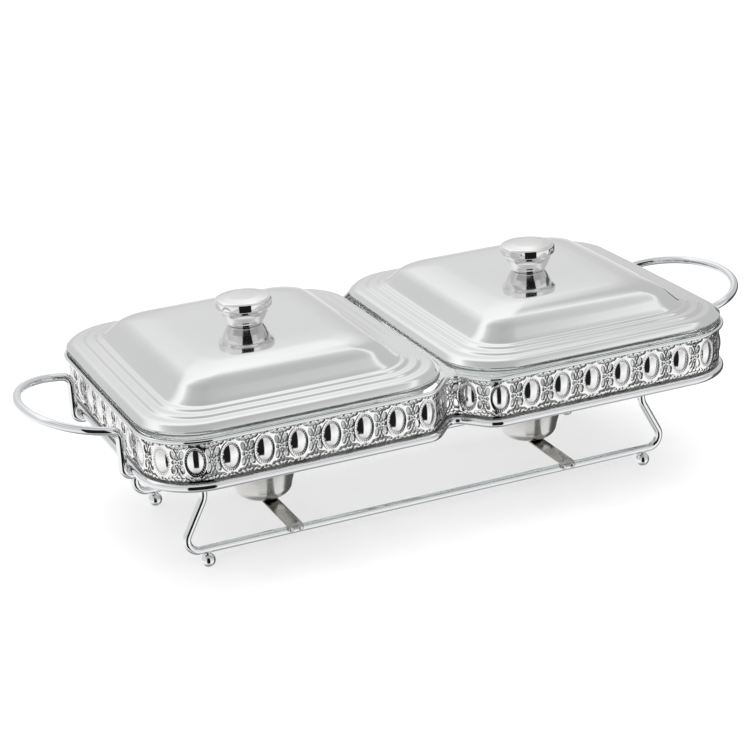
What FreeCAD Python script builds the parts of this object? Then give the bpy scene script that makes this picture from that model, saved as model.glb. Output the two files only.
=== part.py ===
import FreeCAD, Part
import math
import os

# Twin buffet server: wire rack, pierced band, two glass dishes, two domed lids.
# Millimetres, +Z up, +X along the row of dishes, origin on the table under the centre.

V = FreeCAD.Vector

# ---- driving dimensions ------------------------------------------------------------

# rails (closed wires with the same outline, a notch in the middle of each long side)
TOP_WIRE_R = 1.5
WIRE_R = 3.0
WELD_GAP = 0.05
RAIL_HALF_X = 219.2
RAIL_HALF_Y = 119.6
RAIL_CORNER_R = 41.0
TOP_RAIL_Z = 117.0
BOTTOM_RAIL_Z = 84.8
BOTTOM_RAIL_INSET = 1.3
NOTCH_HALF_WIDTH = 29.0
NOTCH_DEPTH = 21.0
NOTCH_MOUTH_R = 16.0
NOTCH_ROOT_R = 8.0

# pierced band
BAND_THICK = 0.8
BAND_INSET = TOP_WIRE_R + 0.02 + BAND_THICK / 2
BAND_BOTTOM_Z = BOTTOM_RAIL_Z + WIRE_R + 0.02
BAND_TOP_Z = TOP_RAIL_Z + 0.3
BAND_MID_Z = 102.6
BAND_PITCH = 23.6
BAND_HOLE_R = 2.3
BAND_HOLE_RISE = 7.6
BAND_HOLE_SIDE = 6.2

# handles
POST_X = RAIL_HALF_X - BOTTOM_RAIL_INSET + 2 * WIRE_R + WELD_GAP
POST_Y = 58.8
FOOT_RUN_Z = BOTTOM_RAIL_Z - 2 * WIRE_R - WELD_GAP
FOOT_BEND_R = 6.05
LOOP_Z = 112.4
LOOP_BEND_R = 6.5
LOOP_TIP_X = 277.5
LOOP_SLOPE = 0.16

# legs
LEG_Z = 13.0
LEG_CORNER_X = 176.0
LEG_CORNER_R = 9.0
RISER_LEAN = 28.0
RISER_X = 170.6
RISER_BEND_R = 14.0
RISER_TOP_R = 7.0
RISER_JOINT_X = 178.5

# ball feet
FOOT_X = 171.0
FOOT_R = 5.15
FOOT_CENTRE_Z = 4.85

# candle cups and the straps under them
CUP_X = 107.0
STRAP_WIDTH = 11.8
STRAP_THICK = 1.4
STRAP_CURL_ANGLE = 75.0
CUP_WALL = 0.8
CUP_BASE_R = 21.5
CUP_RIM_R = 25.5
CUP_HEIGHT = 24.0
CUP_LIP = 1.2
CUP_EDGE_R = 9.5
RIVET_R = 2.0
RIVET_HEAD_R = 4.0
RIVET_HEAD_H = 1.2
RIVET_CLEARANCE = 0.05

# dishes
UNIT_X = 110.8
UNIT_EXTRA_DEPTH = 11.4
DISH_FLANGE_HALF = 109.4
DISH_FLANGE_CORNER = 40.5
DISH_FLANGE_THICK = 2.7
DISH_SEAT_Z = TOP_RAIL_Z + TOP_WIRE_R + 0.02
DISH_TOP_HALF = 101.0
DISH_TOP_CORNER = 34.0
DISH_BOTTOM_HALF = 90.0
DISH_BOTTOM_CORNER = 29.0
DISH_BOTTOM_Z = 82.9
DISH_WALL = 3.6
DISH_FLOOR = 4.0
DISH_EDGE_R = 6.0
DISH_RIM_R = 0.8

# lids: outer skin as (inset from the edge, height above the seat)
LID_HALF = 108.5
LID_CORNER = 40.0
LID_SEAT_Z = DISH_SEAT_Z + DISH_FLANGE_THICK + 0.05
LID_SHEET = 1.0
LID_CORNER_SHRINK = 0.62
LID_CORNER_SHRINK_REACH = 36.0
LID_SECTION = (
    (0.9, 0.0),
    (0.1, 1.4),
    (0.0, 3.0),
    (0.7, 4.8),
    (2.2, 5.9),
    (4.0, 6.2),
    (12.0, 6.3),
    (13.2, 7.6),
    (19.4, 7.8),
    (20.6, 9.1),
    (24.5, 9.4),
    (27.0, 11.4),
    (34.0, 18.2),
    (40.0, 21.7),
    (48.0, 24.3),
    (58.0, 26.1),
    (70.0, 26.6),
)
LID_TOP_Z = LID_SEAT_Z + LID_SECTION[-1][1]

# knobs: outline of neck and cap as (radius, height above the lid)
NECK_SECTION = ((11.4, 0.0), (12.4, 0.8), (14.6, 4.6), (16.2, 8.2), (17.1, 11.0))
CAP_SECTION = (
    (17.6, 0.0),
    (18.6, 0.5),
    (18.8, 1.4),
    (18.9, 1.7),
    (19.4, 2.0),
    (19.8, 3.0),
    (19.8, 7.2),
    (19.3, 8.1),
    (17.6, 8.7),
    (11.0, 9.7),
    (0.0, 10.2),
)
SCREW_R = 2.0
SCREW_CLEARANCE = 0.05
SCREW_HEAD_R = 3.8
SCREW_HEAD_H = 2.4
WASHER_R = 6.0
WASHER_THICK = 1.0
SCREW_INTO_CAP = 5.0
SCREW_TIP_ROOM = 0.3

os.makedirs("parts", exist_ok=True)


# ---- helpers -------------------------------------------------------------------------

def save(name, shape):
    if not shape.isValid():
        shape.fix(0.001, 0.001, 0.001)
    print(name, "valid", shape.isValid(), "solids", len(shape.Solids), "volume", round(shape.Volume, 1))
    shape.exportStep(os.path.join("parts", name + ".step"))


def mirror_x(shape):
    return shape.mirror(V(0, 0, 0), V(1, 0, 0))


def mirror_y(shape):
    return shape.mirror(V(0, 0, 0), V(0, 1, 0))


def rod(start, end, radius):
    along = end - start
    return Part.makeCylinder(radius, along.Length, start, along)


def bend(centre, normal, start, degrees, radius):
    """A wire of the given radius bent about an axis, from a start point on its centre line."""
    tangent = normal.cross(start - centre)
    disc = Part.Face(Part.Wire([Part.makeCircle(radius, start, tangent)]))
    return disc.revolve(centre, normal, degrees)


def join(pieces):
    whole = pieces[0].fuse(pieces[1:])
    return whole.removeSplitter()


def revolve_section(points, x, y):
    """Turn a closed (radius, height) outline about the vertical line through x, y."""
    outline = [V(x + r, y, z) for r, z in points]
    face = Part.Face(Part.makePolygon(outline + outline[:1]))
    return face.revolve(V(x, y, 0), V(0, 0, 1), 360)


def rounded_outline(x, half, corner, z):
    """Closed wire with round corners, centred on x, 0, and deeper than it is wide."""
    flat = half - corner
    diagonal = corner * math.sqrt(0.5)
    edges = []
    for turn in range(4):
        spin = math.radians(90 * turn)
        cosine = math.cos(spin)
        sine = math.sin(spin)

        def place(px, py):
            turned = V(x + px * cosine - py * sine, px * sine + py * cosine, z)
            return turned + V(0, math.copysign(UNIT_EXTRA_DEPTH, turned.y), 0)

        edges.append(Part.LineSegment(place(half, -flat), place(half, flat)).toShape())
        middle = place(flat + diagonal, flat + diagonal)
        edges.append(Part.Arc(place(half, flat), middle, place(flat, half)).toShape())
    return Part.Wire(edges)


def outline_stack(x, levels):
    """Solid through round-cornered outlines, each level given as (half width, corner, z)."""
    wires = [rounded_outline(x, half, corner, z) for half, corner, z in levels]
    return Part.makeLoft(wires, True, True)


# ---- rail outline ----------------------------------------------------------------------

def notch_angle():
    """How far the notch flank turns from the long side, in radians, and its straight length."""
    both = NOTCH_MOUTH_R + NOTCH_ROOT_R
    rest = both - NOTCH_DEPTH
    straight = math.sqrt(NOTCH_HALF_WIDTH ** 2 + rest ** 2 - both ** 2)
    angle = math.atan2(both, straight) - math.atan2(rest, NOTCH_HALF_WIDTH)
    return angle, straight


def rail_right_front(inset):
    """Outline from the notch root to the right end, as lines and arcs (centre, radius, from, to)."""
    turn = math.degrees(notch_angle()[0])
    half_x = RAIL_HALF_X - inset
    half_y = RAIL_HALF_Y - inset
    corner = RAIL_CORNER_R - inset
    mouth_r = NOTCH_MOUTH_R - inset
    root_r = NOTCH_ROOT_R + inset
    root = (0.0, -RAIL_HALF_Y + NOTCH_DEPTH - NOTCH_ROOT_R)
    mouth = (NOTCH_HALF_WIDTH, -RAIL_HALF_Y + NOTCH_MOUTH_R)
    end = (half_x - corner, -half_y + corner)
    flank_start = on_arc(root, root_r, 90 - turn)
    flank_end = on_arc(mouth, mouth_r, 270 - turn)
    return [
        ("arc", root, root_r, 90.0, 90 - turn),
        ("line", flank_start, flank_end),
        ("arc", mouth, mouth_r, 270 - turn, 270.0),
        ("line", (mouth[0], -half_y), (end[0], -half_y)),
        ("arc", end, corner, 270.0, 360.0),
        ("line", (half_x, end[1]), (half_x, 0.0)),
    ]


def on_arc(centre, radius, degrees):
    angle = math.radians(degrees)
    return (centre[0] + radius * math.cos(angle), centre[1] + radius * math.sin(angle))


def wire_piece(segment, z, radius):
    if segment[0] == "line":
        start, end = segment[1], segment[2]
        return rod(V(start[0], start[1], z), V(end[0], end[1], z), radius)
    centre, arc_r, begin, finish = segment[1:]
    start = on_arc(centre, arc_r, begin)
    normal = V(0, 0, 1 if finish > begin else -1)
    return bend(V(centre[0], centre[1], z), normal, V(start[0], start[1], z), abs(finish - begin), radius)


def all_quarters(quarter):
    right = [quarter, mirror_y(quarter)]
    return right + [mirror_x(shape) for shape in right]


def rail(inset, z, radius):
    quarter = join([wire_piece(segment, z, radius) for segment in rail_right_front(inset)])
    return join(all_quarters(quarter))


# ---- pierced band ----------------------------------------------------------------------

def band_piece(segment):
    """One length of plain strip along a line or an arc of the band's middle line."""
    height = BAND_TOP_Z - BAND_BOTTOM_Z
    if segment[0] == "line":
        start, end = segment[1], segment[2]
        length = math.dist(start, end)
        strip = Part.makeBox(length, BAND_THICK, height, V(0, -BAND_THICK / 2, 0))
        strip.rotate(V(0, 0, 0), V(0, 0, 1), math.degrees(math.atan2(end[1] - start[1], end[0] - start[0])))
        strip.translate(V(start[0], start[1], BAND_BOTTOM_Z))
        return strip
    centre, arc_r, begin, finish = segment[1:]
    low, high = min(begin, finish), max(begin, finish)
    axis = V(0, 0, 1)
    base = V(centre[0], centre[1], BAND_BOTTOM_Z)
    outer = Part.makeCylinder(arc_r + BAND_THICK / 2, height, base, axis, high - low)
    inner = Part.makeCylinder(arc_r - BAND_THICK / 2, height, base, axis, high - low)
    sector = outer.cut(inner)
    sector.rotate(base, axis, low)
    return sector


def segment_length(segment):
    if segment[0] == "line":
        return math.dist(segment[1], segment[2])
    return segment[2] * math.radians(abs(segment[4] - segment[3]))


def band_point(segments, distance):
    """Point and outward direction at a distance along the band's middle line."""
    for segment in segments:
        length = segment_length(segment)
        if distance <= length:
            break
        distance -= length
    share = distance / length
    if segment[0] == "line":
        start, end = segment[1], segment[2]
        point = tuple(a + (b - a) * share for a, b in zip(start, end))
        return point, ((end[1] - start[1]) / length, -(end[0] - start[0]) / length)
    centre, arc_r, begin, finish = segment[1:]
    angle = begin + (finish - begin) * share
    point = on_arc(centre, arc_r, angle)
    sign = 1 if finish > begin else -1
    away = on_arc((0.0, 0.0), sign, angle)
    return point, away


def band_holes(segments):
    """Round openings above and below the middle, four to each repeat, as cutters."""
    total = sum(segment_length(segment) for segment in segments)
    repeats = round(total / BAND_PITCH)
    pitch = total / repeats
    cutters = []
    for repeat in range(repeats):
        for side in (-1, 1):
            distance = (repeat + 0.5) * pitch + side * BAND_HOLE_SIDE
            (px, py), (nx, ny) = band_point(segments, distance)
            for rise in (-BAND_HOLE_RISE, BAND_HOLE_RISE):
                start = V(px - 3 * nx, py - 3 * ny, BAND_MID_Z + rise)
                cutters.append(Part.makeCylinder(BAND_HOLE_R, 6, start, V(nx, ny, 0)))
    return cutters


def band_quarter():
    """Right front quarter of the band, as its front length and its end length, pierced."""
    segments = rail_right_front(BAND_INSET)
    cutters = band_holes(segments)
    front = join([band_piece(segment) for segment in segments[:4]]).cut(cutters)
    end = join([band_piece(segment) for segment in segments[4:]]).cut(cutters)
    return front, end


# ---- handles and legs ------------------------------------------------------------------

def handle():
    """Right handle: foot runs under the rail, posts and a tilted half-oval loop."""
    tilt = math.degrees(math.atan(LOOP_SLOPE))
    foot_centre = V(POST_X - FOOT_BEND_R, -POST_Y, FOOT_RUN_Z + FOOT_BEND_R)
    foot_start = V(RISER_JOINT_X, -POST_Y, FOOT_RUN_Z)
    foot_end = V(POST_X - FOOT_BEND_R, -POST_Y, FOOT_RUN_Z)
    post_start = V(POST_X, -POST_Y, FOOT_RUN_Z + FOOT_BEND_R)
    bend_end_rise = LOOP_BEND_R * math.cos(math.radians(tilt))
    top_centre = V(POST_X + LOOP_BEND_R, -POST_Y, LOOP_Z - bend_end_rise)
    post_end = V(POST_X, -POST_Y, top_centre.z)
    side = [
        rod(foot_start, foot_end, WIRE_R),
        bend(foot_centre, V(0, -1, 0), foot_end, 90, WIRE_R),
        rod(post_start, post_end, WIRE_R),
        bend(top_centre, V(0, 1, 0), post_end, 90 - tilt, WIRE_R),
    ]
    bend_end = top_centre + V(-LOOP_BEND_R * math.sin(math.radians(tilt)), 0, bend_end_rise)
    reach = LOOP_TIP_X - WIRE_R - bend_end.x
    centre = V(bend_end.x, 0, bend_end.z)
    if reach * math.hypot(1, LOOP_SLOPE) > POST_Y:
        raise ValueError("the loop must be wider than it is long")
    oval = Part.Ellipse(centre + V(0, POST_Y, 0), centre + V(reach, 0, reach * LOOP_SLOPE), centre)
    path = Part.Wire([Part.ArcOfEllipse(oval, 0, math.pi).toShape()])
    first = path.Edges[0]
    start = first.valueAt(first.FirstParameter)
    tangent = first.tangentAt(first.FirstParameter)
    section = Part.Wire([Part.makeCircle(WIRE_R, start, tangent)])
    loop = path.makePipeShell([section], True, False)
    return join(side + [mirror_y(piece) for piece in side] + [loop])


def leg():
    """Front leg wire: long run, rounded corners, leaning risers, ends turned out under the rail."""
    y = -POST_Y
    lean = math.radians(RISER_LEAN)
    corner_centre = V(LEG_CORNER_X, y, LEG_Z + LEG_CORNER_R)
    run_end = V(LEG_CORNER_X, y, LEG_Z)
    lean_start = corner_centre + V(math.cos(lean), 0, math.sin(lean)) * LEG_CORNER_R
    upward = V(-math.sin(lean), 0, math.cos(lean))
    tangent_length = RISER_BEND_R * math.tan(lean / 2)
    meet = lean_start + upward * ((lean_start.x - RISER_X) / math.sin(lean))
    lean_end = meet - upward * tangent_length
    upright_start = meet + V(0, 0, tangent_length)
    bend_centre = V(RISER_X + RISER_BEND_R, y, upright_start.z)
    upright_end = V(RISER_X, y, FOOT_RUN_Z - RISER_TOP_R)
    top_centre = V(RISER_X + RISER_TOP_R, y, upright_end.z)
    run_start = V(RISER_X + RISER_TOP_R, y, FOOT_RUN_Z)
    joint = V(RISER_JOINT_X, y, FOOT_RUN_Z)
    half = [
        rod(V(0, y, LEG_Z), run_end, WIRE_R),
        bend(corner_centre, V(0, -1, 0), run_end, 90 + RISER_LEAN, WIRE_R),
        rod(lean_start, lean_end, WIRE_R),
        bend(bend_centre, V(0, 1, 0), lean_end, RISER_LEAN, WIRE_R),
        rod(upright_start, upright_end, WIRE_R),
        bend(top_centre, V(0, 1, 0), upright_end, 90, WIRE_R),
        rod(run_start, joint, WIRE_R),
    ]
    return join(half + [mirror_x(piece) for piece in half])


def ball_foot():
    """Ball welded under the leg wire, with the small flat it stands on."""
    ball = Part.makeSphere(FOOT_R, V(FOOT_X, -POST_Y, FOOT_CENTRE_Z))
    below = Part.makeBox(4 * FOOT_R, 4 * FOOT_R, FOOT_R, V(FOOT_X - 2 * FOOT_R, -POST_Y - 2 * FOOT_R, -FOOT_R))
    return ball.cut(below)


# ---- candle cups -------------------------------------------------------------------------

def strap():
    """Flat bar across both leg wires, its ends curled down around them."""
    inner = WIRE_R + WELD_GAP
    outer = inner + STRAP_THICK
    low = LEG_Z + inner
    flat = Part.makeBox(STRAP_WIDTH, 2 * POST_Y, STRAP_THICK, V(CUP_X - STRAP_WIDTH / 2, -POST_Y, low))
    pieces = [flat]
    for sign in (-1, 1):
        base = V(CUP_X - STRAP_WIDTH / 2, sign * POST_Y, LEG_Z)
        corners = [
            base + V(0, 0, inner),
            base + V(0, 0, outer),
            base + V(STRAP_WIDTH, 0, outer),
            base + V(STRAP_WIDTH, 0, inner),
        ]
        strip = Part.Face(Part.makePolygon(corners + corners[:1]))
        pieces.append(strip.revolve(base, V(-sign, 0, 0), STRAP_CURL_ANGLE))
    whole = join(pieces)
    hole = Part.makeCylinder(RIVET_R + RIVET_CLEARANCE, 4 * STRAP_THICK, V(CUP_X, 0, low - STRAP_THICK))
    return whole.cut(hole)


def cup_base_z():
    return LEG_Z + WIRE_R + WELD_GAP + STRAP_THICK


def cup():
    """Spun cup with a rounded foot, flared side and a small turned-out lip."""
    base = cup_base_z()
    top = base + CUP_HEIGHT
    hole = RIVET_R + RIVET_CLEARANCE
    edge = []
    for step in range(7):
        angle = math.radians(-90 + 15 * step)
        edge.append((CUP_EDGE_R * math.cos(angle), CUP_EDGE_R * (1 + math.sin(angle))))
    foot_r = CUP_BASE_R - CUP_EDGE_R
    outside = [(foot_r + r, base + z) for r, z in edge]
    inside_scale = (CUP_EDGE_R - CUP_WALL) / CUP_EDGE_R
    inside = [(foot_r + r * inside_scale, base + CUP_WALL + z * inside_scale) for r, z in edge]
    rim = [
        (CUP_RIM_R, top - CUP_LIP),
        (CUP_RIM_R + CUP_LIP, top - CUP_WALL),
        (CUP_RIM_R + CUP_LIP, top),
        (CUP_RIM_R - CUP_WALL / 2, top),
        (CUP_RIM_R - CUP_WALL, top - CUP_LIP),
    ]
    outline = [(hole, base)] + outside + rim + inside[::-1] + [(hole, base + CUP_WALL)]
    return revolve_section(outline, CUP_X, 0)


def rivet():
    """Rivet through strap and cup floor."""
    base = cup_base_z()
    floor = base + CUP_WALL
    under = base - STRAP_THICK
    outline = [
        (0, under - RIVET_HEAD_H),
        (RIVET_HEAD_R * 0.75, under - RIVET_HEAD_H),
        (RIVET_HEAD_R, under),
        (RIVET_R, under),
        (RIVET_R, floor),
        (RIVET_HEAD_R, floor),
        (RIVET_HEAD_R * 0.75, floor + RIVET_HEAD_H),
        (0, floor + RIVET_HEAD_H),
    ]
    return revolve_section(outline, CUP_X, 0)


# ---- dish ----------------------------------------------------------------------------------

def dish():
    """Pressed glass dish: tapered body, flat flange that rests on the top rail."""
    seat = DISH_SEAT_Z
    top = seat + DISH_FLANGE_THICK
    body = outline_stack(UNIT_X, [
        (DISH_BOTTOM_HALF, DISH_BOTTOM_CORNER, DISH_BOTTOM_Z),
        (DISH_TOP_HALF, DISH_TOP_CORNER, seat),
    ])
    bottom_edges = [e for e in body.Edges if abs(e.BoundBox.ZMax - DISH_BOTTOM_Z) < 0.01]
    body = body.makeFillet(DISH_EDGE_R, bottom_edges)
    flange = outline_stack(UNIT_X, [
        (DISH_FLANGE_HALF, DISH_FLANGE_CORNER, seat),
        (DISH_FLANGE_HALF, DISH_FLANGE_CORNER, top),
    ])
    level = [e for e in flange.Edges if e.BoundBox.ZLength < 0.01]
    flange = flange.makeFillet(DISH_RIM_R, level)
    slope = (DISH_TOP_HALF - DISH_BOTTOM_HALF) / (seat - DISH_BOTTOM_Z)
    floor_z = DISH_BOTTOM_Z + DISH_FLOOR
    low_half = DISH_BOTTOM_HALF + slope * DISH_FLOOR - DISH_WALL
    high_half = DISH_TOP_HALF + slope * DISH_FLANGE_THICK - DISH_WALL
    hollow = outline_stack(UNIT_X, [
        (low_half, DISH_BOTTOM_CORNER - DISH_WALL, floor_z),
        (high_half, DISH_TOP_CORNER - DISH_WALL, top),
    ])
    floor_edges = [e for e in hollow.Edges if abs(e.BoundBox.ZMax - floor_z) < 0.01]
    hollow = hollow.makeFillet(DISH_EDGE_R - 1.0, floor_edges)
    return body.fuse(flange).cut(hollow)


# ---- lid ------------------------------------------------------------------------------------

def lid_levels(section):
    levels = []
    for inset, z in section:
        corner = LID_CORNER - min(inset, LID_CORNER_SHRINK_REACH) * LID_CORNER_SHRINK
        levels.append((LID_HALF - inset, corner, LID_SEAT_Z + z))
    return levels


def lid_shell():
    """Drawn sheet lid: rolled edge, stepped brim, dome with a crowned top, screw hole."""
    outer = outline_stack(UNIT_X, lid_levels(LID_SECTION))
    inner_section = []
    for index, (inset, z) in enumerate(LID_SECTION):
        before = LID_SECTION[max(index - 1, 0)]
        after = LID_SECTION[min(index + 1, len(LID_SECTION) - 1)]
        run = after[0] - before[0]
        climb = after[1] - before[1]
        length = math.hypot(run, climb)
        inner_section.append((inset + LID_SHEET * climb / length, z - LID_SHEET * run / length))
    inner_section[0] = (LID_SECTION[0][0] + LID_SHEET, 0.0)
    inner_section[1] = (LID_SECTION[1][0] + LID_SHEET, LID_SECTION[1][1])
    inner_section[-1] = (LID_SECTION[-1][0], LID_SECTION[-1][1] - LID_SHEET)
    below = (inner_section[0][0], -2.0)
    inner = outline_stack(UNIT_X, lid_levels([below] + inner_section))
    hole = Part.makeCylinder(SCREW_R + SCREW_CLEARANCE, 6 * LID_SHEET, V(UNIT_X, 0, LID_TOP_Z - 3 * LID_SHEET))
    return outer.cut(inner).cut(hole)


def knob_neck():
    """Flared cone between lid and cap, drilled for the screw."""
    hole = SCREW_R + SCREW_CLEARANCE
    height = NECK_SECTION[-1][1]
    outline = [(hole, 0.0)] + list(NECK_SECTION) + [(hole, height)]
    return revolve_section([(r, LID_TOP_Z + z) for r, z in outline], UNIT_X, 0)


def knob_cap():
    """Polished disc with a slightly crowned top and a tapped hole in its underside."""
    base = LID_TOP_Z + NECK_SECTION[-1][1]
    hole = SCREW_R + SCREW_CLEARANCE
    depth = SCREW_INTO_CAP + SCREW_TIP_ROOM
    outline = [(0, depth), (hole, depth), (hole, 0.0)] + list(CAP_SECTION)
    return revolve_section([(r, base + z) for r, z in outline], UNIT_X, 0)


def knob_screw():
    """Pan-head screw from under the lid, through washer, shell and neck, into the cap."""
    under = LID_TOP_Z - LID_SHEET - WASHER_THICK
    tip = LID_TOP_Z + NECK_SECTION[-1][1] + SCREW_INTO_CAP
    outline = [
        (0, under - SCREW_HEAD_H),
        (SCREW_HEAD_R * 0.7, under - SCREW_HEAD_H),
        (SCREW_HEAD_R, under - SCREW_HEAD_H * 0.4),
        (SCREW_HEAD_R, under),
        (SCREW_R, under),
        (SCREW_R, tip - SCREW_R / 2),
        (SCREW_R / 2, tip),
        (0, tip),
    ]
    return revolve_section(outline, UNIT_X, 0)


def knob_washer():
    """Plain washer under the lid shell."""
    base = LID_TOP_Z - LID_SHEET - WASHER_THICK
    ring = Part.makeCylinder(WASHER_R, WASHER_THICK, V(UNIT_X, 0, base))
    return ring.cut(Part.makeCylinder(SCREW_R + SCREW_CLEARANCE, WASHER_THICK, V(UNIT_X, 0, base)))


# ---- build -----------------------------------------------------------------------------------

def save_pair(name, shape):
    """A right-hand shape and its mirror image on the left."""
    save("right_" + name, shape)
    save("left_" + name, mirror_x(shape))


save("top_rail", rail(0.0, TOP_RAIL_Z, TOP_WIRE_R))
save("bottom_rail", rail(BOTTOM_RAIL_INSET, BOTTOM_RAIL_Z, WIRE_R))

band_front, band_end = band_quarter()
front_strip = join([band_front, mirror_x(band_front)])
save("front_band", front_strip)
save("rear_band", mirror_y(front_strip))
save_pair("end_band", join([band_end, mirror_y(band_end)]))

front_leg = leg()
save("front_leg", front_leg)
save("rear_leg", mirror_y(front_leg))
save_pair("handle", handle())

foot = ball_foot()
save_pair("front_foot", foot)
save_pair("rear_foot", mirror_y(foot))

save_pair("cup_strap", strap())
save_pair("candle_cup", cup())
save_pair("cup_rivet", rivet())

save_pair("dish", dish())
save_pair("lid_shell", lid_shell())
save_pair("knob_neck", knob_neck())
save_pair("knob_cap", knob_cap())
save_pair("knob_screw", knob_screw())
save_pair("knob_washer", knob_washer())
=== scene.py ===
# Twin buffet server: the visible pieces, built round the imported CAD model, and their studio.

import math

import bmesh
import bpy
import numpy as np
from mathutils import Matrix, Vector


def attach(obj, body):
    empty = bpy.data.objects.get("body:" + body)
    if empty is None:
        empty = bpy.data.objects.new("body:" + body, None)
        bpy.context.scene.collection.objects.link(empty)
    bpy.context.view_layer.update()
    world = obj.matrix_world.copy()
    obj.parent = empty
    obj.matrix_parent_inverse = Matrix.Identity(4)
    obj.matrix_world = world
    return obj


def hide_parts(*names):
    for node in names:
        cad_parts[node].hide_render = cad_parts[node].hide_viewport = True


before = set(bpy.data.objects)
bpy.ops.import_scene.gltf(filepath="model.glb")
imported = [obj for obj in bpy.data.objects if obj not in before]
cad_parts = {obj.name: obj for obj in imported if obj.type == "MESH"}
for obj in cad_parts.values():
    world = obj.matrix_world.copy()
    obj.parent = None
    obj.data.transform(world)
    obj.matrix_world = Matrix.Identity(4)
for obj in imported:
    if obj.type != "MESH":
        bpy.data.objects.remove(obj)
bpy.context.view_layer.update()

# Lengths below are millimetres, as in the CAD part, until new_piece() turns them into metres.
MM = 0.001

# ---- sizes shared with the CAD part --------------------------------------------------

# gaps between parts that rest on each other, that are welded, and that go through a hole
TOUCH_GAP = 0.02
WELD_GAP = 0.05
CLEARANCE = 0.05

# rails and band
TOP_WIRE_R = 1.5
WIRE_R = 3.0
RAIL_HALF_X = 219.2
RAIL_HALF_Y = 119.6
RAIL_CORNER_R = 41.0
TOP_RAIL_Z = 117.0
BOTTOM_RAIL_Z = 84.8
BOTTOM_RAIL_INSET = 1.3
NOTCH_HALF_WIDTH = 29.0
NOTCH_DEPTH = 21.0
NOTCH_MOUTH_R = 16.0
NOTCH_ROOT_R = 8.0
BAND_THICK = 0.8
BAND_INSET = TOP_WIRE_R + TOUCH_GAP + BAND_THICK / 2
BAND_BOTTOM_Z = BOTTOM_RAIL_Z + WIRE_R + TOUCH_GAP
BAND_TOP_OVER_RAIL = 0.3
BAND_TOP_Z = TOP_RAIL_Z + BAND_TOP_OVER_RAIL

# handles, legs and feet
POST_X = RAIL_HALF_X - BOTTOM_RAIL_INSET + 2 * WIRE_R + WELD_GAP
POST_Y = 58.8
FOOT_RUN_Z = BOTTOM_RAIL_Z - 2 * WIRE_R - WELD_GAP
FOOT_BEND_R = 6.05
LOOP_Z = 112.4
LOOP_BEND_R = 6.5
LOOP_TIP_X = 277.5
LOOP_SLOPE = 0.16
LEG_Z = 13.0
LEG_CORNER_X = 176.0
LEG_CORNER_R = 9.0
RISER_LEAN = 28.0
RISER_X = 170.6
RISER_BEND_R = 14.0
RISER_TOP_R = 7.0
RISER_JOINT_X = 178.5
FOOT_X = 171.0
FOOT_R = 5.15
FOOT_CENTRE_Z = 4.85

# candle cups and straps
CUP_X = 107.0
STRAP_WIDTH = 11.8
STRAP_THICK = 1.4
STRAP_CURL_ANGLE = 75.0
CUP_WALL = 0.8
CUP_BASE_R = 21.5
CUP_RIM_R = 25.5
CUP_HEIGHT = 24.0
CUP_LIP = 1.2
CUP_EDGE_R = 9.5
CUP_BASE_Z = LEG_Z + WIRE_R + WELD_GAP + STRAP_THICK
RIVET_R = 2.0
RIVET_HEAD_R = 4.0
RIVET_HEAD_H = 1.2

# dishes and lids
UNIT_X = 110.8
UNIT_EXTRA_DEPTH = 11.4
DISH_SEAT_Z = TOP_RAIL_Z + TOP_WIRE_R + TOUCH_GAP
DISH_FLANGE_THICK = 2.7
DISH_FLANGE_HALF = 109.4
DISH_BOTTOM_Z = 82.9
DISH_FLOOR = 4.0
LID_HALF = 108.5
LID_CORNER = 40.0
LID_CORNER_SHRINK = 0.62
LID_CORNER_SHRINK_REACH = 36.0
LID_GAP = 0.05
LID_SEAT_Z = DISH_SEAT_Z + DISH_FLANGE_THICK + LID_GAP
LID_SHEET = 1.0
LID_HEIGHT = 26.6
LID_TOP_Z = LID_SEAT_Z + LID_HEIGHT
SCREW_R = 2.0
SCREW_HEAD_R = 3.8
SCREW_HEAD_H = 2.4
SCREW_TIP_ROOM = 0.3
WASHER_R = 6.0
WASHER_THICK = 1.0

# ---- small geometry helpers ------------------------------------------------------------

# the most of an edge that the rounding of one corner may take
SOFTEN_SHARE = 0.45
# how far in the edge of a cut wire end is turned
WIRE_EDGE = 0.35
# turned shapes close on a ring this small
POINT_R = 0.02


def arc(centre, radius, begin, finish, step=4.0):
    """Points on a flat arc, angles in degrees from +X."""
    count = max(3, math.ceil(abs(finish - begin) / step))
    angles = np.radians(np.linspace(begin, finish, count + 1))
    return np.column_stack([centre[0] + radius * np.cos(angles), centre[1] + radius * np.sin(angles)])


def soften(points, cut, closed=False, steps=4):
    """Rounds each corner of a polyline, starting at most `cut` before it."""
    points = np.asarray(points, float)
    count = len(points)
    rounded = []
    for index in range(count):
        corner = points[index]
        if not closed and index in (0, count - 1):
            rounded.append(corner)
            continue
        before = points[index - 1] - corner
        after = points[(index + 1) % count] - corner
        reach = min(cut, SOFTEN_SHARE * np.linalg.norm(before), SOFTEN_SHARE * np.linalg.norm(after))
        start = corner + before / np.linalg.norm(before) * reach
        end = corner + after / np.linalg.norm(after) * reach
        for share in np.linspace(0, 1, steps + 1):
            rounded.append((1 - share) ** 2 * start + 2 * share * (1 - share) * corner + share**2 * end)
    return np.array(rounded)


def loft_faces(rings, per_ring, wrap):
    """Quads between equal rings of vertices; wrap also joins the last ring to the first."""
    faces = []
    for ring in range(rings if wrap else rings - 1):
        here = ring * per_ring
        there = (ring + 1) % rings * per_ring
        for step in range(per_ring):
            beside = (step + 1) % per_ring
            faces.append((here + step, here + beside, there + beside, there + step))
    return faces


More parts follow.
